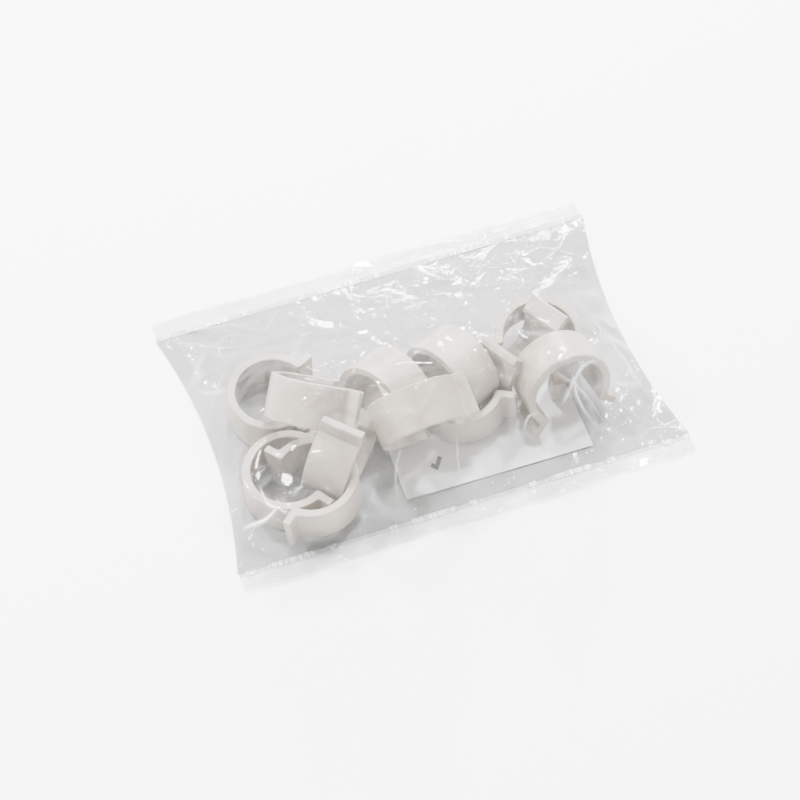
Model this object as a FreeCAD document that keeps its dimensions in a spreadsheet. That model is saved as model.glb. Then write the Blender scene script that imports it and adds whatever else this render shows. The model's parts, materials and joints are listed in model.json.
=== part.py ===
import FreeCAD, Part
import Sketcher
import math
import os

os.makedirs("parts", exist_ok=True)

V = FreeCAD.Vector
doc = FreeCAD.newDocument("LegBandPack")

# Driving dimensions, mm and degrees. Origin: middle of the pack's underside,
# +X along the bag, +Y across it towards the top seal, +Z up.
SIZES = [
    ("bag_length", 130, "film bag along its two seals"),
    ("bag_width", 90, "film bag across the seals, as it lies"),
    ("film", 0.3, "thickness given to one ply of film"),
    ("seal_width", 1.2, "heat seal band"),
    ("fin_depth", 4.6, "loose flap of two plies beyond each seal"),
    ("fin_gap", 0.1, "running gap at the flap's fold"),
    ("side_bow", 5, "how far the folded sides are drawn in at the middle"),
    ("dome_room", 0.9, "film above the highest band"),
    ("dome_power", 6, "fullness of the pillow, 2 is an ellipse"),
    ("band_bore", 20, "leg bore of a closed band"),
    ("band_wall", 2.2, "band wall"),
    ("band_width", 12, "band along its bore"),
    ("gap_angle", 92, "opening of the band, seen from its axis"),
    ("lip_reach", 3.4, "lip beyond the band's outer face"),
    ("lip_wall", 2.1, "lip thickness"),
    ("lip_inner_round", 1.0, "round at the bore side of the lip"),
    ("lip_root_round", 1.2, "round at the outer root of the lip"),
    ("lip_tip_round", 0.5, "round along the lip's tip"),
    ("edge_round", 0.3, "round on the band's rims"),
    ("slip_length", 54, "printed slip, long side"),
    ("slip_width", 34, "printed slip, short side"),
    ("slip_wall", 0.2, "printed slip thickness"),
    ("slip_gap", 0.1, "air between slip and film"),
    ("slip_along", 12, "middle of the slip, along the bag"),
    ("slip_seal_room", 5.6, "from the slip's near side to the lower seal"),
    ("slip_turn", 1, "the slip's turn from square"),
]
dims = doc.addObject("Spreadsheet::Sheet", "Dims")
for row, (alias, number, note) in enumerate(SIZES, start=1):
    dims.set("A%d" % row, note)
    dims.set("B%d" % row, str(number))
    dims.setAlias("B%d" % row, alias)
doc.recompute()


def size(alias):
    return float(dims.get(alias))


def originPlane(body, role):
    for feature in body.Origin.OriginFeatures:
        if feature.Role == role:
            return feature
    raise ValueError(role)


def newSketch(body, name, role="XY_Plane"):
    sketch = body.newObject("Sketcher::SketchObject", name)
    sketch.AttachmentSupport = (originPlane(body, role), [""])
    sketch.MapMode = "FlatFace"
    return sketch


def bind(sketch, constraint, name, formula):
    index = sketch.addConstraint(constraint)
    sketch.renameConstraint(index, name)
    sketch.setExpression("Constraints." + name, formula)


def pad(body, sketch, name, formula, midplane=False):
    feature = body.newObject("PartDesign::Pad", name)
    feature.Profile = sketch
    if midplane:
        feature.Midplane = True
    feature.setExpression("Length", formula)
    sketch.Visibility = False
    return feature


def closeLoop(sketch, lines):
    for here, after in zip(lines, lines[1:] + lines[:1]):
        sketch.addConstraint(Sketcher.Constraint("Coincident", here, 2, after, 1))


# ---------------------------------------------------------------- leg bands
# The bore axis is the band's own Z and its gap faces the band's own +X.
def ringSketch(body, name):
    half = math.radians(size("gap_angle") / 2)
    inner = size("band_bore") / 2
    outer = inner + size("band_wall")
    sketch = newSketch(body, name + "_ring")
    axis = V(0, 0, 1)
    start = half
    end = 2 * math.pi - half
    sketch.addGeometry(Part.ArcOfCircle(Part.Circle(V(), axis, outer), start, end))
    sketch.addGeometry(Part.ArcOfCircle(Part.Circle(V(), axis, inner), start, end))
    for angle in (start, end):
        way = V(math.cos(angle), math.sin(angle), 0)
        sketch.addGeometry(Part.LineSegment(way * inner, way * outer))
    for arc in (0, 1):
        sketch.addConstraint(Sketcher.Constraint("Coincident", arc, 3, -1, 1))
    for line, tip in ((2, 1), (3, 2)):
        sketch.addConstraint(Sketcher.Constraint("Coincident", line, 1, 1, tip))
        sketch.addConstraint(Sketcher.Constraint("Coincident", line, 2, 0, tip))
        sketch.addConstraint(Sketcher.Constraint("PointOnObject", -1, 1, line))
    bind(sketch, Sketcher.Constraint("Radius", 0, outer), "outer",
         "Dims.band_bore / 2 + Dims.band_wall")
    bind(sketch, Sketcher.Constraint("Radius", 1, inner), "inner", "Dims.band_bore / 2")
    bind(sketch, Sketcher.Constraint("Angle", 2, half), "upper_end", "Dims.gap_angle / 2")
    bind(sketch, Sketcher.Constraint("Angle", 3, -half), "lower_end", "-Dims.gap_angle / 2")
    return sketch


def lipSketch(body, name):
    half = math.radians(size("gap_angle") / 2)
    inner = size("band_bore") / 2
    reach = size("band_wall") + size("lip_reach")
    wall = size("lip_wall")
    sketch = newSketch(body, name + "_lips")
    for side, label in ((1, "upper"), (-1, "lower")):
        first = sketch.GeometryCount
        out = V(math.cos(half), side * math.sin(half), 0)
        back = V(-math.sin(half), side * math.cos(half), 0)
        foot = out * inner
        tip = out * (inner + reach)
        corners = [foot, tip, tip + back * wall, foot + back * wall]
        for here, after in zip(corners, corners[1:] + corners[:1]):
            sketch.addGeometry(Part.LineSegment(here, after))
        closeLoop(sketch, [first, first + 1, first + 2, first + 3])
        sketch.addConstraint(Sketcher.Constraint("PointOnObject", -1, 1, first))
        for step in range(3):
            sketch.addConstraint(
                Sketcher.Constraint("Perpendicular", first + step, first + step + 1))
        bind(sketch, Sketcher.Constraint("Distance", -1, 1, first, 1, inner),
             label + "_foot", "Dims.band_bore / 2")
        bind(sketch, Sketcher.Constraint("Distance", first, reach),
             label + "_reach", "Dims.band_wall + Dims.lip_reach")
        bind(sketch, Sketcher.Constraint("Distance", first + 1, wall),
             label + "_wall", "Dims.lip_wall")
        bind(sketch, Sketcher.Constraint("Angle", first, side * half),
             label + "_angle", "%d * Dims.gap_angle / 2" % side)
    return sketch


def edgesAlongBore(shape, radius, inGapFace):
    half = math.radians(size("gap_angle") / 2)
    found = []
    for number, edge in enumerate(shape.Edges, start=1):
        ends = [vertex.Point for vertex in edge.Vertexes]
        if len(ends) != 2 or abs(ends[0].z - ends[1].z) < size("band_width") * 0.9:
            continue
        point = ends[0]
        behind = abs(abs(point.y) * math.cos(half) - point.x * math.sin(half))
        near = behind < 0.05
        if abs(math.hypot(point.x, point.y) - radius) < 0.02 and near == inGapFace:
            found.append("Edge%d" % number)
    return found


def roundEdges(body, base, name, edges, formula):
    feature = body.newObject("PartDesign::Fillet", name)
    feature.Base = (base, edges)
    feature.setExpression("Radius", formula)
    return feature


def legBand(name, place):
    body = doc.addObject("PartDesign::Body", name)
    body.Label = name
    pad(body, ringSketch(body, name), name + "_wall", "Dims.band_width", True)
    lips = pad(body, lipSketch(body, name), name + "_flare", "Dims.band_width", True)
    doc.recompute()
    inner = size("band_bore") / 2
    outer = inner + size("band_wall")
    tip = outer + size("lip_reach")
    tipBack = math.hypot(tip, size("lip_wall"))
    edges = edgesAlongBore(lips.Shape, inner, True)
    step = roundEdges(body, lips, name + "_mouth", edges, "Dims.lip_inner_round")
    doc.recompute()
    edges = edgesAlongBore(step.Shape, outer, False)
    step = roundEdges(body, step, name + "_root", edges, "Dims.lip_root_round")
    doc.recompute()
    edges = edgesAlongBore(step.Shape, tip, True)
    edges += edgesAlongBore(step.Shape, tipBack, False)
    step = roundEdges(body, step, name + "_tips", edges, "Dims.lip_tip_round")
    doc.recompute()
    rims = []
    for number, edge in enumerate(step.Shape.Edges, start=1):
        heights = [abs(vertex.Point.z) for vertex in edge.Vertexes]
        spread = edge.BoundBox.ZLength
        if spread < 0.01 and min(heights) > size("band_width") * 0.49:
            rims.append("Edge%d" % number)
    roundEdges(body, step, name + "_rims", rims, "Dims.edge_round")
    doc.recompute()
    body.Placement = place
    return body


# The pile. Middle of each band, in mm for a band 24.4 mm across and 12 mm wide on a
# slip whose top is 0.6 mm up; then the heading and lean of its bore axis, and the
# turn that brings its gap round.
PILE = [
    ("leg_band_01", -41, 5, 7, 0, 0, -20),
    ("leg_band_02", -32.5, -4.5, 17, -123, 126, 66),
    ("leg_band_03", -12.5, -8.5, 15.5, -152, 78, 83),
    ("leg_band_04", -29.5, -20, 13.5, 137, 85, -133),
    ("leg_band_05", -7.5, -19.5, 21, -87, 111, 59),
    ("leg_band_06", 7, -7, 14.5, -155, 85, -11),
    ("leg_band_07", 27, -6, 13, -60, 90, 169),
    ("leg_band_08", 8.5, -11, 8.5, -173, 8, -173),
    ("leg_band_09", 34, -3, 9.5, -102, 10, -38),
    ("leg_band_10", 34.5, -18.5, 14, -87, 72, 6),
    ("leg_band_11", -44.5, -20, 7, 0, 0, -10),
    ("leg_band_12", -39, -26, 10.5, 180, 4, -5),
]


def pilePlace(x, y, z, heading, lean, turn):
    across = size("band_bore") + 2 * size("band_wall")
    scale = across / 24.4
    raised = size("film") + size("slip_gap") + size("slip_wall") - 0.6
    wider = (size("band_width") - 12) / 2
    height = raised + z * scale + wider * abs(math.cos(math.radians(lean)))
    axis = FreeCAD.Rotation(V(0, 0, 1), heading) * FreeCAD.Rotation(V(0, 1, 0), lean)
    spin = axis * FreeCAD.Rotation(V(0, 0, 1), turn)
    return FreeCAD.Placement(V(x * scale, y * scale, height), spin)


bands = []
for name, x, y, z, heading, lean, turn in PILE:
    bands.append(legBand(name, pilePlace(x, y, z, heading, lean, turn)))


# ---------------------------------------------------------------- film bag
sealOuter = size("bag_width") / 2 - size("fin_depth") - size("fin_gap")
sealInner = sealOuter - size("seal_width")
halfLength = size("bag_length") / 2


def strip(name, low, depthFormula, heightFormula):
    body = doc.addObject("PartDesign::Body", name)
    body.Label = name
    sketch = newSketch(body, name + "_outline")
    length = size("bag_length")
    depth = size("seal_width")
    corners = [V(-length / 2, 0, 0), V(length / 2, 0, 0),
               V(length / 2, depth, 0), V(-length / 2, depth, 0)]
    for here, after in zip(corners, corners[1:] + corners[:1]):
        sketch.addGeometry(Part.LineSegment(here, after))
    closeLoop(sketch, [0, 1, 2, 3])
    for line, way in ((0, "Horizontal"), (2, "Horizontal"), (1, "Vertical"), (3, "Vertical")):
        sketch.addConstraint(Sketcher.Constraint(way, line))
    sketch.addConstraint(Sketcher.Constraint("PointOnObject", 0, 1, -1))
    bind(sketch, Sketcher.Constraint("DistanceX", 0, 1, 0, 2, length),
         "long_side", "Dims.bag_length")
    bind(sketch, Sketcher.Constraint("DistanceX", 0, 1, -1, 1, length / 2),
         "middle", "Dims.bag_length / 2")
    bind(sketch, Sketcher.Constraint("DistanceY", 1, 1, 1, 2, depth), "depth", depthFormula)
    pad(body, sketch, name + "_plies", heightFormula)
    doc.recompute()
    body.Placement = FreeCAD.Placement(V(0, low, 0), FreeCAD.Rotation())
    return body


topSeal = strip("top_seal", sealInner, "Dims.seal_width", "2 * Dims.film")
bottomSeal = strip("bottom_seal", -sealOuter, "Dims.seal_width", "2 * Dims.film")


# A flap is two plies with a round fold that turns beside the seal.
def flap(name, turn):
    body = doc.addObject("PartDesign::Body", name)
    body.Label = name
    ply = size("film")
    depth = size("fin_depth")
    sketch = newSketch(body, name + "_section", "YZ_Plane")
    sketch.addGeometry(Part.ArcOfCircle(
        Part.Circle(V(ply, ply, 0), V(0, 0, 1), ply), math.pi / 2, 3 * math.pi / 2))
    sketch.addGeometry(Part.LineSegment(V(ply, 0, 0), V(depth, 0, 0)))
    sketch.addGeometry(Part.LineSegment(V(depth, 0, 0), V(depth, 2 * ply, 0)))
    sketch.addGeometry(Part.LineSegment(V(depth, 2 * ply, 0), V(ply, 2 * ply, 0)))
    sketch.addConstraint(Sketcher.Constraint("Tangent", 0, 2, 1, 1))
    sketch.addConstraint(Sketcher.Constraint("Coincident", 1, 2, 2, 1))
    sketch.addConstraint(Sketcher.Constraint("Coincident", 2, 2, 3, 1))
    sketch.addConstraint(Sketcher.Constraint("Tangent", 3, 2, 0, 1))
    sketch.addConstraint(Sketcher.Constraint("Vertical", 2))
    sketch.addConstraint(Sketcher.Constraint("Horizontal", 1))
    sketch.addConstraint(Sketcher.Constraint("PointOnObject", 1, 2, -1))
    bind(sketch, Sketcher.Constraint("Radius", 0, ply), "fold", "Dims.film")
    bind(sketch, Sketcher.Constraint("DistanceX", -1, 1, 0, 3, ply), "start", "Dims.film")
    bind(sketch, Sketcher.Constraint("DistanceX", -1, 1, 1, 2, depth), "depth", "Dims.fin_depth")
    pad(body, sketch, name + "_plies", "Dims.bag_length", True)
    doc.recompute()
    place = size("bag_width") / 2 - depth
    if turn:
        body.Placement = FreeCAD.Placement(V(0, -place, 0), FreeCAD.Rotation(V(0, 0, 1), 180))
    else:
        body.Placement = FreeCAD.Placement(V(0, place, 0), FreeCAD.Rotation())
    return body


topFin = flap("top_fin", False)
bottomFin = flap("bottom_fin", True)


# Underside ply: straight along the seals, bowed in along the two folded sides.
def backFilm(name):
    body = doc.addObject("PartDesign::Body", name)
    body.Label = name
    sketch = newSketch(body, name + "_outline")
    bow = size("side_bow")
    radius = (sealInner ** 2 + bow ** 2) / (2 * bow)
    sweep = math.asin(sealInner / radius)
    centre = halfLength - bow + radius
    up = V(0, 0, 1)
    low = -sealInner
    sketch.addGeometry(Part.LineSegment(V(-halfLength, low, 0), V(halfLength, low, 0)))
    sketch.addGeometry(Part.ArcOfCircle(
        Part.Circle(V(centre, 0, 0), up, radius), math.pi - sweep, math.pi + sweep))
    sketch.addGeometry(Part.LineSegment(V(halfLength, -low, 0), V(-halfLength, -low, 0)))
    sketch.addGeometry(Part.ArcOfCircle(
        Part.Circle(V(-centre, 0, 0), up, radius), -sweep, sweep))
    for first, end, second, start in ((0, 2, 1, 2), (1, 1, 2, 1), (2, 2, 3, 2), (3, 1, 0, 1)):
        sketch.addConstraint(Sketcher.Constraint("Coincident", first, end, second, start))
    sealLine = "Dims.bag_width / 2 - Dims.fin_depth - Dims.fin_gap - Dims.seal_width"
    bowRadius = "((%s) * (%s) + Dims.side_bow * Dims.side_bow) / (2 * Dims.side_bow)"
    for line in (0, 2):
        sketch.addConstraint(Sketcher.Constraint("Horizontal", line))
    bind(sketch, Sketcher.Constraint("DistanceX", 0, 1, 0, 2, 2 * halfLength),
         "low_side", "Dims.bag_length")
    bind(sketch, Sketcher.Constraint("DistanceX", 2, 2, 2, 1, 2 * halfLength),
         "high_side", "Dims.bag_length")
    bind(sketch, Sketcher.Constraint("DistanceX", 0, 1, -1, 1, halfLength),
         "low_middle", "Dims.bag_length / 2")
    bind(sketch, Sketcher.Constraint("DistanceX", 2, 2, -1, 1, halfLength),
         "high_middle", "Dims.bag_length / 2")
    bind(sketch, Sketcher.Constraint("DistanceY", 0, 1, -1, 1, sealInner), "low_seal", sealLine)
    bind(sketch, Sketcher.Constraint("DistanceY", -1, 1, 2, 1, sealInner), "high_seal", sealLine)
    for arc, side in ((1, "right"), (3, "left")):
        bind(sketch, Sketcher.Constraint("Radius", arc, radius), side + "_bow",
             bowRadius % (sealLine, sealLine))
    pad(body, sketch, name + "_ply", "Dims.film")
    doc.recompute()
    return body


backPly = backFilm("bag_back_film")


# Upper ply: a pillow that stands on the underside ply and is open below.
def pillow(length, depth, height, base):
    power = size("dome_power")
    waist = length - size("side_bow")
    rings = []
    steps = 16
    for step in range(steps + 1):
        # rings crowd towards the two seals, where the pillow turns down
        swing = math.sin(math.pi / 2 * math.sin(math.pi * (step / steps - 0.5)))
        y = depth * swing
        fullness = (1 - abs(swing) ** power) ** (1 / power)
        reach = waist + size("side_bow") * (y / sealInner) ** 2
        rise = size("film") + (height - size("film")) * fullness
        points = []
        for part in range(17):
            angle = math.pi * part / 16
            side = math.copysign(abs(math.cos(angle)) ** (2 / power), math.cos(angle))
            points.append(V(reach * side, y, size("film") + rise * math.sin(angle) ** (2 / power)))
        points[0] = V(reach, y, size("film"))
        points[-1] = V(-reach, y, size("film"))
        arch = Part.BSplineCurve()
        arch.interpolate(points)
        edges = [arch.toShape()]
        if base < size("film"):
            right = V(reach, y, base)
            left = V(-reach, y, base)
            edges.append(Part.makeLine(points[-1], left))
            edges.append(Part.makeLine(left, right))
            edges.append(Part.makeLine(right, points[0]))
        else:
            edges.append(Part.makeLine(points[-1], points[0]))
        rings.append(Part.Wire(edges))
    return Part.makeLoft(rings, True, True)


pileTop = max(band.Shape.BoundBox.ZMax for band in bands)
domeHeight = pileTop + size("dome_room")
ply = size("film")
outerPillow = pillow(halfLength, sealInner, domeHeight, ply)
innerPillow = pillow(halfLength - ply, sealInner - ply, domeHeight - ply, -ply)
frontPly = doc.addObject("Part::Feature", "bag_front_film")
frontPly.Label = "bag_front_film"
frontPly.Shape = outerPillow.cut(innerPillow)
frontPly.Placement = FreeCAD.Placement()


# ---------------------------------------------------------------- printed slip
slip = doc.addObject("PartDesign::Body", "printed_slip")
slip.Label = "printed_slip"
slipSketch = newSketch(slip, "slip_outline")
longSide = size("slip_length")
shortSide = size("slip_width")
slipCorners = [V(-longSide / 2, -shortSide / 2, 0), V(longSide / 2, -shortSide / 2, 0),
               V(longSide / 2, shortSide / 2, 0), V(-longSide / 2, shortSide / 2, 0)]
for here, after in zip(slipCorners, slipCorners[1:] + slipCorners[:1]):
    slipSketch.addGeometry(Part.LineSegment(here, after))
closeLoop(slipSketch, [0, 1, 2, 3])
for line, way in ((0, "Horizontal"), (2, "Horizontal"), (1, "Vertical"), (3, "Vertical")):
    slipSketch.addConstraint(Sketcher.Constraint(way, line))
slipSketch.addConstraint(Sketcher.Constraint("Symmetric", 0, 1, 1, 2, -1, 1))
bind(slipSketch, Sketcher.Constraint("DistanceX", 0, 1, 0, 2, longSide),
     "long_side", "Dims.slip_length")
bind(slipSketch, Sketcher.Constraint("DistanceY", 1, 1, 1, 2, shortSide),
     "short_side", "Dims.slip_width")
pad(slip, slipSketch, "slip_sheet", "Dims.slip_wall")
doc.recompute()
slipMiddle = -sealInner + size("slip_seal_room") + shortSide / 2
slip.Placement = FreeCAD.Placement(
    V(size("slip_along"), slipMiddle, size("film") + size("slip_gap")),
    FreeCAD.Rotation(V(0, 0, 1), -size("slip_turn")))
doc.recompute()

# ---------------------------------------------------------------- hand the pieces out
pieces = bands + [frontPly, backPly, topSeal, bottomSeal, topFin, bottomFin, slip]
for item in doc.Objects:
    for flag in ("Invalid", "Error"):
        if flag in item.State:
            raise RuntimeError("%s is %s" % (item.Label, flag))
for piece in pieces:
    shape = piece.Shape
    if shape.isNull() or not shape.isValid() or len(shape.Solids) != 1:
        raise RuntimeError("%s has no single sound solid" % piece.Label)
    shape.exportStep("parts/%s.step" % piece.Label)
    box = shape.BoundBox
    print("%-16s %8.1f mm3  z %5.2f to %5.2f" % (piece.Label, shape.Volume, box.ZMin, box.ZMax))
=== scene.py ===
import json
import math

import bmesh
import bpy
import numpy as np
from mathutils import Matrix, Vector, noise
from mathutils.bvhtree import BVHTree


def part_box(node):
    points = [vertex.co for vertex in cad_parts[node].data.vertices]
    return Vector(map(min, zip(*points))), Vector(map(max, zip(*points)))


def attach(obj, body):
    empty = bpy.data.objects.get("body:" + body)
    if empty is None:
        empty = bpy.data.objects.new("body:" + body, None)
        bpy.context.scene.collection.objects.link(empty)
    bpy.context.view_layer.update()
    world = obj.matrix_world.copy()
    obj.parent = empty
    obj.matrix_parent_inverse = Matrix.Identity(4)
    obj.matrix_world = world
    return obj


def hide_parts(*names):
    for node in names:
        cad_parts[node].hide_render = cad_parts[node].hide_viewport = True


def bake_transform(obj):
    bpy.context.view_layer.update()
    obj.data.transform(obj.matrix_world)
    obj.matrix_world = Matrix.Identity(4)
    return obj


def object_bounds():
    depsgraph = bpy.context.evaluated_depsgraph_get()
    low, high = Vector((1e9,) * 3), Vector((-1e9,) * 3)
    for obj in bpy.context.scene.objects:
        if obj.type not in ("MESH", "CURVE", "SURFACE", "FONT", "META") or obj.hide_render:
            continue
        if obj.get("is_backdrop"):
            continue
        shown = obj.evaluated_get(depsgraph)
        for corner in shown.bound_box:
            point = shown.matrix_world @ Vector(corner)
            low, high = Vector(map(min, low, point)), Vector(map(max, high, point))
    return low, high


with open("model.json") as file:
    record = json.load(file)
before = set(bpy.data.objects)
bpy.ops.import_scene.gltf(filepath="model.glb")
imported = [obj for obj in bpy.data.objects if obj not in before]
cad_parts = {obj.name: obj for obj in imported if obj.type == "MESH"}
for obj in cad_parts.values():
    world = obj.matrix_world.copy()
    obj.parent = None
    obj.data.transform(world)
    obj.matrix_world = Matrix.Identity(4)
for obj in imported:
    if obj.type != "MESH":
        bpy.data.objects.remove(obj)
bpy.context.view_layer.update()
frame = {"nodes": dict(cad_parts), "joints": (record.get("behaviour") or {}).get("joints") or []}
scene = bpy.context.scene
nodeObjects = frame["nodes"]
bandNames = sorted(name for name in nodeObjects if name.startswith("leg_band"))
mm = 0.001
print("frame loaded,", len(bandNames), "bands")


def newMaterial(name):
    material = bpy.data.materials.new(name)
    material.use_nodes = True
    tree = material.node_tree
    shader = tree.nodes["Principled BSDF"]
    return material, tree, shader


def addNode(tree, kind, **values):
    node = tree.nodes.new(kind)
    for name, value in values.items():
        if name in node.inputs:
            node.inputs[name].default_value = value
        else:
            setattr(node, name, value)
    return node


def mathNode(tree, operation, first, second=None):
    node = tree.nodes.new("ShaderNodeMath")
    node.operation = operation
    for slot, value in enumerate((first, second)):
        if value is None:
            continue
        if isinstance(value, (int, float)):
            node.inputs[slot].default_value = value
        else:
            tree.links.new(value, node.inputs[slot])
    return node.outputs[0]


def newGroup(name, inputs, outputs):
    tree = bpy.data.node_groups.new(name, "ShaderNodeTree")
    for label, kind, value in inputs:
        socket = tree.interface.new_socket(label, in_out="INPUT", socket_type=kind)
        if value is not None:
            socket.default_value = value
    for label, kind in outputs:
        tree.interface.new_socket(label, in_out="OUTPUT", socket_type=kind)
    return tree, tree.nodes.new("NodeGroupInput"), tree.nodes.new("NodeGroupOutput")


def useGroup(tree, group, **values):
    node = tree.nodes.new("ShaderNodeGroup")
    node.node_tree = group
    for name, value in values.items():
        node.inputs[name].default_value = value
    return node


# Fine mottle and tooth of a moulded or rolled surface, used by the band, slip and ink finishes.
def surfaceGrainGroup():
    tree, inside, outside = newGroup(
        "surfaceGrain",
        [("Size", "NodeSocketFloat", 800.0), ("Depth", "NodeSocketFloat", 0.5)],
        [("Mottle", "NodeSocketFloat"), ("Height", "NodeSocketFloat")])
    place = tree.nodes.new("ShaderNodeTexCoord")
    broad = addNode(tree, "ShaderNodeTexNoise", Detail=4.0, Roughness=0.55, Scale=90.0)
    fine = addNode(tree, "ShaderNodeTexNoise", Detail=3.0, Roughness=0.6)
    tree.links.new(place.outputs["Object"], broad.inputs["Vector"])
    tree.links.new(place.outputs["Object"], fine.inputs["Vector"])
    tree.links.new(inside.outputs["Size"], fine.inputs["Scale"])
    height = mathNode(tree, "MULTIPLY", fine.outputs["Fac"], inside.outputs["Depth"])
    tree.links.new(broad.outputs["Fac"], outside.inputs["Mottle"])
    tree.links.new(height, outside.inputs["Height"])
    return tree


# Crumple of thin film: facets between sharp folds, drawn out along one direction.
def filmCrumpleGroup():
    tree, inside, outside = newGroup(
        "filmCrumple",
        [("Stretch", "NodeSocketVector", (1.0, 1.0, 1.0)),
         ("Fold Scale", "NodeSocketFloat", 70.0)],
        [("Fold", "NodeSocketFloat"), ("Height", "NodeSocketFloat")])
    place = tree.nodes.new("ShaderNodeTexCoord")
    drawn = addNode(tree, "ShaderNodeVectorMath", operation="MULTIPLY")
    tree.links.new(place.outputs["Object"], drawn.inputs[0])
    tree.links.new(inside.outputs["Stretch"], drawn.inputs[1])
    warp = addNode(tree, "ShaderNodeTexNoise", Scale=40.0, Detail=3.0)
    tree.links.new(drawn.outputs[0], warp.inputs["Vector"])
    shift = addNode(tree, "ShaderNodeVectorMath", operation="SCALE")
    shift.inputs["Scale"].default_value = 0.012
    tree.links.new(warp.outputs["Color"], shift.inputs[0])
    moved = addNode(tree, "ShaderNodeVectorMath", operation="ADD")
    tree.links.new(drawn.outputs[0], moved.inputs[0])
    tree.links.new(shift.outputs[0], moved.inputs[1])
    facets = addNode(tree, "ShaderNodeTexVoronoi", feature="DISTANCE_TO_EDGE")
    tree.links.new(moved.outputs[0], facets.inputs["Vector"])
    tree.links.new(inside.outputs["Fold Scale"], facets.inputs["Scale"])
    ridge = addNode(tree, "ShaderNodeMapRange", interpolation_type="SMOOTHSTEP")
    ridge.inputs["From Max"].default_value = 0.12
    ridge.inputs["To Min"].default_value = 1.0
    ridge.inputs["To Max"].default_value = 0.0
    tree.links.new(facets.outputs["Distance"], ridge.inputs["Value"])
    wave = addNode(tree, "ShaderNodeTexNoise", Scale=120.0, Detail=5.0, Roughness=0.55)
    tree.links.new(moved.outputs[0], wave.inputs["Vector"])
    height = mathNode(tree, "ADD", wave.outputs["Fac"],
                      mathNode(tree, "MULTIPLY", ridge.outputs[0], 0.35))
    patch = addNode(tree, "ShaderNodeTexNoise", Scale=28.0, Detail=2.0)
    tree.links.new(place.outputs["Object"], patch.inputs["Vector"])
    chosen = addNode(tree, "ShaderNodeMapRange")
    chosen.inputs["From Min"].default_value = 0.52
    chosen.inputs["From Max"].default_value = 0.7
    tree.links.new(patch.outputs["Fac"], chosen.inputs["Value"])
    # This Fold mask is where the film material paints a highlight onto the ridges.
    fold = mathNode(tree, "MULTIPLY", ridge.outputs[0], chosen.outputs[0])
    tree.links.new(fold, outside.inputs["Fold"])
    tree.links.new(height, outside.inputs["Height"])
    return tree


surfaceGrain = surfaceGrainGroup()
filmCrumple = filmCrumpleGroup()


bandFinish = {
    "light": (0.37, 0.322, 0.27, 1),
    "shade": (0.25, 0.208, 0.168, 1),
    "roughness": 0.36,
    "toothSize": 2600.0,
    "toothDepth": 0.6,
    "bump": 0.10,
    "bumpDistance": 0.0002,
    "specular": 0.45,
}


def bandMaterial(look):
    material, tree, shader = newMaterial("bandPlastic")
    grain = useGroup(tree, surfaceGrain, Size=look["toothSize"], Depth=look["toothDepth"])
    tint = addNode(tree, "ShaderNodeMix", data_type="RGBA")
    tint.inputs["A"].default_value = look["shade"]
    tint.inputs["B"].default_value = look["light"]
    spread = addNode(tree, "ShaderNodeMapRange")
    spread.inputs["From Min"].default_value = 0.3
    spread.inputs["From Max"].default_value = 0.62
    tree.links.new(grain.outputs["Mottle"], spread.inputs["Value"])
    tree.links.new(spread.outputs[0], tint.inputs["Factor"])
    tree.links.new(tint.outputs["Result"], shader.inputs["Base Color"])
    gloss = addNode(tree, "ShaderNodeMapRange")
    gloss.inputs["To Min"].default_value = look["roughness"] - 0.06
    gloss.inputs["To Max"].default_value = look["roughness"] + 0.1
    tree.links.new(grain.outputs["Mottle"], gloss.inputs["Value"])
    tree.links.new(gloss.outputs[0], shader.inputs["Roughness"])
    bump = addNode(tree, "ShaderNodeBump", Strength=look["bump"], Distance=look["bumpDistance"])
    tree.links.new(grain.outputs["Height"], bump.inputs["Height"])
    tree.links.new(bump.outputs[0], shader.inputs["Normal"])
    shader.inputs["Specular IOR Level"].default_value = look["specular"]
    return material


bandPlastic = bandMaterial(bandFinish)
for name in bandNames:
    band = nodeObjects[name]
    band.data.materials.clear()
    band.data.materials.append(bandPlastic)
print("bands finished")


# The white tone and higher cover below are a painted highlight on the film's folds, and the frost
# of the seal dashes.
filmFinish = {
    "tone": (0.13, 0.133, 0.132, 1),
    "creaseTone": (1.0, 1.0, 1.0, 1),
    "creaseVeil": 0.95,
    "crumpleShare": 0.4,
    "bumpDistance": 0.0022,
    "roughness": 0.1,
    "ior": 1.55,
    "specular": 0.9,
    "coatRoughness": 0.05,
    "coatIor": 1.7,
}
filmPlies = {
    "clearFilm": {"veil": 0.15, "stretch": (1.0, 1.3, 0.6), "foldScale": 55.0, "bump": 1.0},
    "backFilm": {"veil": 0.56, "stretch": (1.0, 1.0, 1.0), "foldScale": 40.0, "bump": 0.25},
    "flapFilm": {"veil": 0.26, "stretch": (0.5, 1.4, 1.0), "foldScale": 70.0, "bump": 0.5},
    "sealFilm": {"veil": 0.42, "stretch": (3.0, 1.0, 1.0), "foldScale": 160.0, "bump": 0.8},
}


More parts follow.
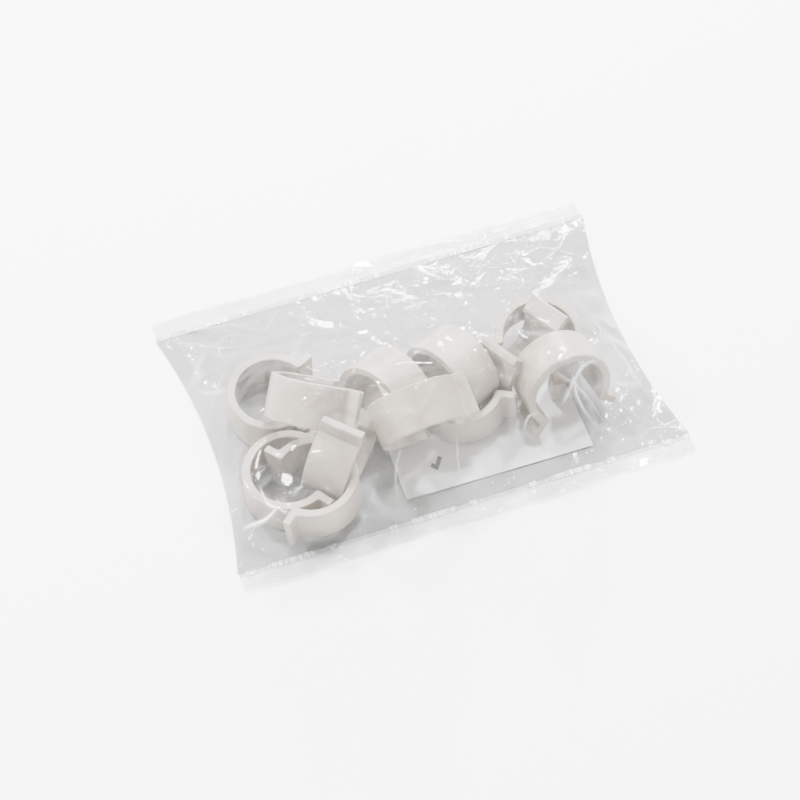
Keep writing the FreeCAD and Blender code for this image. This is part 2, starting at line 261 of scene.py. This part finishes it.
def filmMaterial(name, look, ply):
    material, tree, shader = newMaterial(name)
    crumple = useGroup(tree, filmCrumple, Stretch=ply["stretch"])
    crumple.inputs["Fold Scale"].default_value = ply["foldScale"]
    # Where folds and crumple ridges are marked, the film is mixed towards white and made more
    # opaque: a painted highlight on the creased film, and on the seals their frosted dashes.
    tint = addNode(tree, "ShaderNodeMix", data_type="RGBA")
    tint.inputs["A"].default_value = look["tone"]
    tint.inputs["B"].default_value = look["creaseTone"]
    folds = addNode(tree, "ShaderNodeAttribute", attribute_name="crease")
    highlightAndFrostMask = mathNode(tree, "MAXIMUM",
                      mathNode(tree, "MULTIPLY", crumple.outputs["Fold"], look["crumpleShare"]),
                      folds.outputs["Fac"])
    tree.links.new(highlightAndFrostMask, tint.inputs["Factor"])
    tree.links.new(tint.outputs["Result"], shader.inputs["Base Color"])
    cover = addNode(tree, "ShaderNodeMapRange")
    cover.inputs["To Min"].default_value = ply["veil"]
    cover.inputs["To Max"].default_value = look["creaseVeil"]
    tree.links.new(highlightAndFrostMask, cover.inputs["Value"])
    tree.links.new(cover.outputs[0], shader.inputs["Alpha"])
    bump = addNode(tree, "ShaderNodeBump", Strength=ply["bump"], Distance=look["bumpDistance"])
    tree.links.new(crumple.outputs["Height"], bump.inputs["Height"])
    tree.links.new(bump.outputs[0], shader.inputs["Normal"])
    shader.inputs["Roughness"].default_value = look["roughness"]
    shader.inputs["IOR"].default_value = look["ior"]
    shader.inputs["Specular IOR Level"].default_value = look["specular"]
    shader.inputs["Coat Weight"].default_value = 1.0
    shader.inputs["Coat Roughness"].default_value = look["coatRoughness"]
    shader.inputs["Coat IOR"].default_value = look["coatIor"]
    return material


clearFilm = filmMaterial("clearFilm", filmFinish, filmPlies["clearFilm"])
backFilm = filmMaterial("backFilm", filmFinish, filmPlies["backFilm"])
flapFilm = filmMaterial("flapFilm", filmFinish, filmPlies["flapFilm"])
sealFilm = filmMaterial("sealFilm", filmFinish, filmPlies["sealFilm"])


frontLow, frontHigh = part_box("bag_front_film")
backLow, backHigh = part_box("bag_back_film")
filmShape = {
    "columns": 420,
    "rows": 250,
    "sideBow": 5 * mm,
    "clearance": 0.7 * mm,
    "spread": 1.1 * mm,
    "air": 26.0,
    "rounds": 1500,
    "edgeHeight": 0.35 * mm,
    "coarseColumns": 190,
    "coarseRows": 110,
    "fineSpread": 2,
    "rayFrom": 0.1,
}
facetShape = {
    "longRate": (38, 62),
    "shortRate": (105, 150),
    "steepness": 2.6,
    "shortShare": 0.35,
    "height": 1.5 * mm,
    "seamInset": 8 * mm,
    "slackRoom": 3 * mm,
    "leastSlack": 0.25,
}
buckleShape = {
    "height": 0.35 * mm,
    "sealReach": 6 * mm,
    "sealStart": 1.5 * mm,
    "sealPitch": 2.3 * mm,
    "sideReach": 9 * mm,
    "sideStart": 6 * mm,
    "sidePitch": 3.1 * mm,
}
foldShape = {"bend": 0.7 * mm, "bendRate": 5, "gain": 1.3, "fade": 0.6, "whiteWidth": 0.5}


# Every band at rest and turned to both ends of its range, so that the film leaves it room.
def bandSurfaces():
    points = []
    faces = []
    turns = {joint["child"]: joint for joint in frame["joints"] if joint["name"].startswith("band")}
    for name in bandNames:
        mesh = nodeObjects[name].data
        joint = turns[name.replace("leg_", "")]
        middle = Vector(joint["pos_m"])
        corners = [list(polygon.vertices) for polygon in mesh.polygons]
        for angle in (0, *joint["range_deg"]):
            spin = Matrix.Rotation(math.radians(angle), 3, Vector(joint["axis"]))
            start = len(points)
            points += [spin @ (vertex.co - middle) + middle for vertex in mesh.vertices]
            faces += [[start + index for index in corner] for corner in corners]
    return BVHTree.FromPolygons(points, faces)


def halfLengthAt(y):
    share = min(1, abs(y) / frontHigh.y)
    return frontHigh.x - filmShape["sideBow"] * (1 - share * share)


def pileTops(tree, columns, rows):
    tops = np.zeros((rows, columns))
    places = np.zeros((rows, columns, 2))
    down = Vector((0, 0, -1))
    for row in range(rows):
        y = frontLow.y + (frontHigh.y - frontLow.y) * row / (rows - 1)
        reach = halfLengthAt(y)
        for column in range(columns):
            x = -reach + 2 * reach * column / (columns - 1)
            places[row, column] = (x, y)
            hit = tree.ray_cast(Vector((x, y, filmShape["rayFrom"])), down)
            if hit[0] is not None:
                tops[row, column] = hit[0].z + filmShape["clearance"]
    return places, tops


def widen(tops, steps):
    for _ in range(steps):
        grown = tops.copy()
        grown[1:] = np.maximum(grown[1:], tops[:-1])
        grown[:-1] = np.maximum(grown[:-1], tops[1:])
        grown[:, 1:] = np.maximum(grown[:, 1:], tops[:, :-1])
        grown[:, :-1] = np.maximum(grown[:, :-1], tops[:, 1:])
        tops = grown
    return tops


# The film is stretched over the pile like a skin, with a little air under it.
def drapedHeight(tops, rounds, air, cell):
    edge = filmShape["edgeHeight"]
    height = np.maximum(tops, edge)
    lift = air * cell * cell / 4
    for _ in range(rounds):
        inner = (height[1:-1, :-2] + height[1:-1, 2:]
                 + height[:-2, 1:-1] + height[2:, 1:-1]) / 4 + lift
        height[1:-1, 1:-1] = np.maximum(inner, tops[1:-1, 1:-1])
        height[0] = height[-1] = edge
        height[:, 0] = height[:, -1] = edge
    return height


def resample(grid, rows, columns):
    oldRows, oldColumns = grid.shape
    down = np.linspace(0, oldRows - 1, rows)
    across = np.linspace(0, oldColumns - 1, columns)
    top = np.array([np.interp(across, np.arange(oldColumns), line) for line in grid])
    return np.array([np.interp(down, np.arange(oldRows), top[:, k]) for k in range(columns)]).T


# Main folds: start and end (mm along and across the bag), width, height and strength of a painted
# highlight along the fold.
folds = [
    ((-63, 41), (-38, 33), 0.8, 0.9, 0.5),
    ((-61, 36), (-44, 22), 0.7, 0.8, 0.35),
    ((-60, 20), (-52, 4), 0.8, 0.9, 0.4),
    ((-59, 8), (-50, 14), 0.7, 0.7, 0.4),
    ((-60, -18), (-48, -14), 0.6, 0.6, 0.3),
    ((-61, -30), (-50, -33), 0.9, 1.1, 0.8),
    ((-54, -24), (-50, -36), 0.6, 0.8, 0.8),
    ((44, 30), (61, 22), 0.7, 0.9, 0.6),
    ((46, 22), (58, 34), 0.7, 0.8, 0.6),
    ((38, 24), (47, 33), 0.5, 0.6, 0.4),
    ((34, 14), (36, 0), 0.4, 0.5, 0.5),
    ((42, 6), (50, -2), 0.5, 0.6, 0.4),
    ((50, -2), (58, -4), 0.6, 0.7, 0.5),
    ((50, -2), (49, -14), 0.6, 0.7, 0.5),
    ((30, -28), (44, -22), 0.6, 0.8, 0.6),
    ((34, -24), (38, -34), 0.6, 0.8, 0.6),
    ((30, -22), (42, -34), 0.5, 0.6, 0.5),
    ((18, -31), (24, -28), 0.5, 0.5, 0.5),
    ((20, 36), (26, 20), 0.5, 0.6, 0.35),
    ((-8, 37), (-4, 26), 0.5, 0.6, 0.35),
    ((-24, 37), (-20, 28), 0.5, 0.6, 0.3),
    ((6, 37), (2, 25), 0.5, 0.5, 0.3),
    ((-30, 37), (-36, 24), 0.5, 0.5, 0.3),
    ((-46, 37), (-38, 26), 0.5, 0.5, 0.3),
    ((48, 37), (40, 26), 0.5, 0.6, 0.35),
    ((-20, -37), (-16, -30), 0.5, 0.5, 0.3),
    ((0, -37), (-2, -31), 0.5, 0.5, 0.3),
    ((54, -36), (46, -28), 0.6, 0.7, 0.4),
]


def addFolds(places, height):
    crease = np.zeros(height.shape)
    for (startX, startY), (endX, endY), width, rise, foldHighlight in folds:
        start = np.array([startX, startY]) * mm
        along = np.array([endX, endY]) * mm - start
        length = np.linalg.norm(along)
        offset = places - start
        share = (offset @ along) / length ** 2
        bend = foldShape["bend"] * np.sin(share * foldShape["bendRate"] + startX)
        side = (offset[..., 0] * along[1] - offset[..., 1] * along[0]) / length + bend
        fade = np.clip(np.sin(np.clip(share, 0, 1) * math.pi), 0, 1) ** foldShape["fade"]
        ridge = np.exp(-np.abs(side) / (width * mm)) * fade
        height += foldShape["gain"] * ridge * rise * mm
        # The white core of each fold is a painted highlight, kept in a mask beside the fold's
        # height.
        core = np.exp(-(side / (foldShape["whiteWidth"] * width * mm)) ** 2)
        crease = np.maximum(crease, foldShape["gain"] * foldHighlight * fade * core)
    return height, np.clip(crease, 0, 1)


# The slack film lies in flat facets between sharp ridges, longest along the bag.
def addFacets(places, height, tops):
    look = facetShape
    rows, columns = height.shape
    longX, longY = look["longRate"]
    shortX, shortY = look["shortRate"]
    steep = look["steepness"]
    added = np.zeros(height.shape)
    for row in range(rows):
        for column in range(columns):
            x, y = places[row, column]
            big = noise.noise(Vector((x * longX, y * longY, 7.3)))
            small = noise.noise(Vector((x * shortX + 3, y * shortY, 1.9)))
            added[row, column] = (1 - abs(big) * steep
                                  + look["shortShare"] * (1 - abs(small) * steep))
    seam = look["seamInset"]
    inset = np.minimum(frontHigh.y - np.abs(places[..., 1]), seam) / seam
    slack = np.clip((height - tops) / look["slackRoom"], look["leastSlack"], 1)
    return height + look["height"] * added * inset * slack


# Small buckles run into the film from every seal and side fold.
def addBuckles(places, height):
    x = places[..., 0]
    y = places[..., 1]
    fromSeal = np.minimum(frontHigh.y - y, y - frontLow.y)
    fromSide = np.minimum(frontHigh.x - x, x - frontLow.x)
    look = buckleShape
    nearSeal = np.exp(-fromSeal / look["sealReach"]) * np.clip(fromSeal / look["sealStart"], 0, 1)
    nearSide = np.exp(-fromSide / look["sideReach"]) * np.clip(fromSide / look["sideStart"], 0, 1)
    alongSeal = np.sin(x / look["sealPitch"] + 1.4 * np.sin(x / (7 * mm)) + 40 * y)
    alongSide = np.sin(y / look["sidePitch"] + 1.7 * np.sin(y / (9 * mm)))
    return height + look["height"] * (nearSeal * alongSeal + nearSide * alongSide)


def gridMesh(name, points, crease=None):
    rows, columns = points.shape[:2]
    mesh = bpy.data.meshes.new(name)
    numbers = np.arange(rows * columns).reshape(rows, columns)
    faces = np.stack([numbers[:-1, :-1], numbers[:-1, 1:], numbers[1:, 1:], numbers[1:, :-1]],
                     axis=-1).reshape(-1, 4)
    mesh.from_pydata(points.reshape(-1, 3).tolist(), [], faces.tolist())
    if crease is None:
        crease = np.zeros((rows, columns))
    # This mask is stored on the mesh and drives the film's white: painted highlights on folds and
    # flap crests, and the frosted dashes of the seals.
    mask = mesh.attributes.new("crease", "FLOAT", "POINT")
    mask.data.foreach_set("value", crease.astype(np.float32).ravel())
    mesh.polygons.foreach_set("use_smooth", np.ones(len(faces), bool))
    mesh.update()
    made = bpy.data.objects.new(name, mesh)
    scene.collection.objects.link(made)
    return made


def sheetArea(obj):
    return sum(polygon.area for polygon in obj.data.polygons)


def upperFilm():
    tree = bandSurfaces()
    _, tops = pileTops(tree, filmShape["coarseColumns"], filmShape["coarseRows"])
    cell = (frontHigh.x - frontLow.x) / filmShape["coarseColumns"]
    tops = widen(tops, round(filmShape["spread"] / cell + 0.4))
    height = drapedHeight(tops, filmShape["rounds"], filmShape["air"], cell)
    rows = filmShape["rows"]
    columns = filmShape["columns"]
    finePlaces, fineTops = pileTops(tree, columns, rows)
    fineTops = widen(fineTops, filmShape["fineSpread"])
    fine = resample(height, rows, columns)
    fine = addFacets(finePlaces, fine, fineTops)
    fine = addBuckles(finePlaces, fine)
    fine, crease = addFolds(finePlaces, fine)
    fine = np.maximum(fine, fineTops)
    fine[0] = fine[-1] = filmShape["edgeHeight"]
    fine[:, 0] = fine[:, -1] = filmShape["edgeHeight"]
    points = np.concatenate([finePlaces, fine[..., None]], axis=-1)
    film = gridMesh("upper_film", points, crease)
    film.data.materials.append(clearFilm)
    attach(film, "bag")
    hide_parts("bag_front_film")
    return film


upper = upperFilm()
print("upper film draped, area", round(sheetArea(upper) * 1e4, 1), "cm2")


backShape = {"rows": 90, "columns": 160, "height": 0.16 * mm, "ripple": 0.09 * mm}


def lowerFilm():
    rows = backShape["rows"]
    columns = backShape["columns"]
    points = np.zeros((rows, columns, 3))
    for row in range(rows):
        y = backLow.y + (backHigh.y - backLow.y) * row / (rows - 1)
        reach = halfLengthAt(y)
        for column in range(columns):
            x = -reach + 2 * reach * column / (columns - 1)
            ripple = noise.noise(Vector((x * 90, y * 90, 3.1))) * backShape["ripple"]
            points[row, column] = (x, y, backShape["height"] + ripple)
    film = gridMesh("lower_film", points)
    film.data.materials.append(backFilm)
    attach(film, "bag")
    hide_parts("bag_back_film")
    return film


lower = lowerFilm()


sealShape = {
    "columns": 420,
    "rows": 8,
    "crimp": 0.13 * mm,
    "pitch": 0.9 * mm,
    "overlap": 0.15 * mm,
    "height": 0.38 * mm,
    "dashPitch": 2.1 * mm,
    "dashWhite": 0.8,
}
flapShape = {
    "columns": 360,
    "rows": 22,
    "wave": 0.75 * mm,
    "edgeWander": 0.25 * mm,
    "height": 0.4 * mm,
    "bendHeight": 0.3 * mm,
    "bendDepth": 1.2 * mm,
    "curve": 1.4,
}


def sealRibbon(name, node):
    low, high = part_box(node)
    columns = sealShape["columns"]
    rows = sealShape["rows"]
    across = np.linspace(low.y - sealShape["overlap"], high.y + sealShape["overlap"], rows)
    along = np.linspace(low.x, high.x, columns)
    x, y = np.meshgrid(along, across)
    crimp = np.sin(x / sealShape["pitch"] * 2 * math.pi + 0.8 * np.sin(x * 260))
    z = sealShape["height"] + sealShape["crimp"] * crimp
    dashWave = np.sin(x / sealShape["dashPitch"] + 2 * np.sin(x * 310))
    dash = np.clip(dashWave * 1.5, 0, 1) * sealShape["dashWhite"]
    ribbon = gridMesh(name, np.stack([x, y, z], axis=-1), dash)
    ribbon.data.materials.append(sealFilm)
    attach(ribbon, "bag")
    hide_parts(node)
    return ribbon


def looseFlap(name, node, side):
    low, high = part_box(node)
    columns = flapShape["columns"]
    rows = flapShape["rows"]
    share = np.linspace(0, 1, rows)[:, None] * np.ones(columns)[None, :]
    x = np.linspace(low.x, high.x, columns)[None, :] * np.ones((rows, 1))
    depth = high.y - low.y
    base = low.y if side > 0 else high.y
    wander = flapShape["edgeWander"] * (np.sin(x * 95) + 0.6 * np.sin(x * 233 + 1))
    y = base + side * share * depth + side * share * wander
    slow = np.sin(x * 70 + side) + 0.7 * np.sin(x * 163 + 2 * side) + 0.4 * np.sin(x * 390)
    swell = np.clip(0.45 + 0.5 * slow, 0, 2)
    z = flapShape["height"] + flapShape["wave"] * share ** flapShape["curve"] * swell
    # Painted highlight: glare spots laid along the crests of the flap's waves.
    crestGlare = np.clip(np.sin(x * 163 + 2 * side) - 0.72, 0, 1) * share * 1.2
    flap = gridMesh(name, np.stack([x, y, z], axis=-1), crestGlare)
    flap.data.materials.append(flapFilm)
    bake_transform(flap)
    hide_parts(node)
    return flap


topSeal = sealRibbon("top_seal_crimp", "top_seal")
bottomSeal = sealRibbon("bottom_seal_crimp", "bottom_seal")
topFlap = looseFlap("top_flap_film", "top_fin", 1)
bottomFlap = looseFlap("bottom_flap_film", "bottom_fin", -1)
print("seals and flaps made")


slipFinish = {
    "paper": (0.74, 0.74, 0.73, 1),
    "shade": (0.62, 0.62, 0.61, 1),
    "ink": (0.02, 0.02, 0.022, 1),
    "markAt": (-3.9 * mm, -25.4 * mm),
    "markSize": 3.9 * mm,
    "markLift": 0.12 * mm,
    "tick": [(-0.5, 0.0), (-0.28, 0.24), (-0.1, 0.02), (0.3, 0.62), (0.56, 0.44), (-0.1, -0.46)],
    "rows": 46,
    "columns": 70,
    "roughness": 0.42,
    "inkEdge": (0.07, 0.07, 0.075, 1),
    "inkRoughness": 0.5,
    "curl": 0.35 * mm,
    "curlStart": 1.35,
    "length": 54 * mm,
    "width": 34 * mm,
    "turn": -1,
}


def slipMaterial(look):
    material, tree, shader = newMaterial("slipPaper")
    grain = useGroup(tree, surfaceGrain, Size=900.0, Depth=0.8)
    tint = addNode(tree, "ShaderNodeMix", data_type="RGBA")
    tint.inputs["A"].default_value = look["shade"]
    tint.inputs["B"].default_value = look["paper"]
    tree.links.new(grain.outputs["Mottle"], tint.inputs["Factor"])
    tree.links.new(tint.outputs["Result"], shader.inputs["Base Color"])
    bump = addNode(tree, "ShaderNodeBump", Strength=0.15, Distance=0.0002)
    tree.links.new(grain.outputs["Height"], bump.inputs["Height"])
    tree.links.new(bump.outputs[0], shader.inputs["Normal"])
    shader.inputs["Roughness"].default_value = look["roughness"]
    return material


def inkMaterial(look):
    material, tree, shader = newMaterial("slipInk")
    grain = useGroup(tree, surfaceGrain, Size=3000.0, Depth=0.5)
    tint = addNode(tree, "ShaderNodeMix", data_type="RGBA")
    tint.inputs["A"].default_value = look["ink"]
    tint.inputs["B"].default_value = look["inkEdge"]
    tree.links.new(grain.outputs["Mottle"], tint.inputs["Factor"])
    tree.links.new(tint.outputs["Result"], shader.inputs["Base Color"])
    shader.inputs["Roughness"].default_value = look["inkRoughness"]
    return material


# The slip is a thin sheet that lifts a little at its corners and ripples along its edges.
def paperSlip(look):
    low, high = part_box("printed_slip")
    middle = (low + high) / 2
    long, short = look["length"], look["width"]
    turn = math.radians(look["turn"])
    rows, columns = look["rows"], look["columns"]
    v, u = np.meshgrid(np.linspace(-0.5, 0.5, rows), np.linspace(-0.5, 0.5, columns),
                       indexing="ij")
    corner = np.clip(np.abs(u) * 2 + np.abs(v) * 2 - look["curlStart"], 0, 1)
    ripple = 0.04 * np.sin(u * 17 + 2 * v) + 0.03 * np.sin(v * 13 + 1)
    sheetTop = high.z + mm * ripple + look["curl"] * corner ** 2
    x = middle.x + u * long * math.cos(turn) - v * short * math.sin(turn)
    y = middle.y + u * long * math.sin(turn) + v * short * math.cos(turn)
    slip = gridMesh("paper_slip", np.stack([x, y, sheetTop], axis=-1))
    slip.data.materials.append(slipMaterial(look))
    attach(slip, "slip")
    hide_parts("printed_slip")
    return slip


# A plain tick stands where the slip is printed.
def slipMark(look):
    _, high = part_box("printed_slip")
    size = look["markSize"]
    mesh = bpy.data.meshes.new("slip_mark")
    build = bmesh.new()
    top = high.z + look["markLift"]
    ring = [build.verts.new((look["markAt"][0] + x * size, look["markAt"][1] + y * size, top))
            for x, y in look["tick"]]
    build.faces.new(ring)
    bmesh.ops.triangulate(build, faces=build.faces[:])
    build.to_mesh(mesh)
    build.free()
    mark = bpy.data.objects.new("slip_mark", mesh)
    scene.collection.objects.link(mark)
    mark.data.materials.append(inkMaterial(look))
    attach(mark, "slip")
    return mark


slipSheet = paperSlip(slipFinish)
tickMark = slipMark(slipFinish)
print("slip made")


studio = {
    "floorTone": (0.93, 0.93, 0.93, 1),
    "eye": (-113.2 * mm, -303.3 * mm, 524.3 * mm),
    "aim": (-8.0 * mm, -6.7 * mm, 8.0 * mm),
    "lens": 99,
    "sensor": 36,
    "floorReach": 3.0,
    "floorDrop": 0.1 * mm,
    "sky": 2.1,
    "lamps": [
        ("back", (0.25, 0.66, 0.71), 0.09, 19.0),
        ("backLeft", (-0.22, 0.48, 0.86), 0.09, 19.0),
        ("backRight", (0.46, 0.34, 0.84), 0.08, 15.0),
        ("overhead", (0.10, 0.18, 0.98), 0.08, 12.0),
        ("left", (-0.70, 0.25, 0.62), 0.10, 18.0),
        ("low", (0.35, 0.90, 0.38), 0.12, 15.0),
    ],
}


def studioFloor(look):
    low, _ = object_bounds()
    build = bmesh.new()
    reach = look["floorReach"]
    corners = [(-reach, -reach), (reach, -reach), (reach, reach), (-reach, reach)]
    build.faces.new([build.verts.new((x, y, low.z - look["floorDrop"])) for x, y in corners])
    mesh = bpy.data.meshes.new("studio_floor")
    build.to_mesh(mesh)
    build.free()
    floor = bpy.data.objects.new("studio_floor", mesh)
    scene.collection.objects.link(floor)
    material, _, shader = newMaterial("floorPaper")
    shader.inputs["Base Color"].default_value = look["floorTone"]
    shader.inputs["Roughness"].default_value = 0.9
    shader.inputs["Specular IOR Level"].default_value = 0.1
    mesh.materials.append(material)
    floor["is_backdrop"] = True


def studioLight(look):
    world = bpy.data.worlds.new("studioSky")
    world.use_nodes = True
    sky = world.node_tree.nodes["Background"]
    sky.inputs["Color"].default_value = (1, 1, 1, 1)
    sky.inputs["Strength"].default_value = look["sky"]
    scene.world = world
    aim = Vector(look["aim"])
    for name, place, size, watts in look["lamps"]:
        lamp = bpy.data.lights.new(name, "AREA")
        lamp.shape = "SQUARE"
        lamp.size = size
        lamp.energy = watts
        made = bpy.data.objects.new(name, lamp)
        made.location = place
        made.rotation_euler = (aim - Vector(place)).to_track_quat("-Z", "Y").to_euler()
        scene.collection.objects.link(made)


def studioCamera(look):
    data = bpy.data.cameras.new("camera")
    data.lens = look["lens"]
    data.sensor_width = look["sensor"]
    data.clip_start = 0.01
    camera = bpy.data.objects.new("camera", data)
    camera.location = look["eye"]
    way = Vector(look["aim"]) - Vector(look["eye"])
    camera.rotation_euler = way.to_track_quat("-Z", "Y").to_euler()
    scene.collection.objects.link(camera)
    scene.camera = camera


studioFloor(studio)
studioLight(studio)
studioCamera(studio)

print("scene ready")
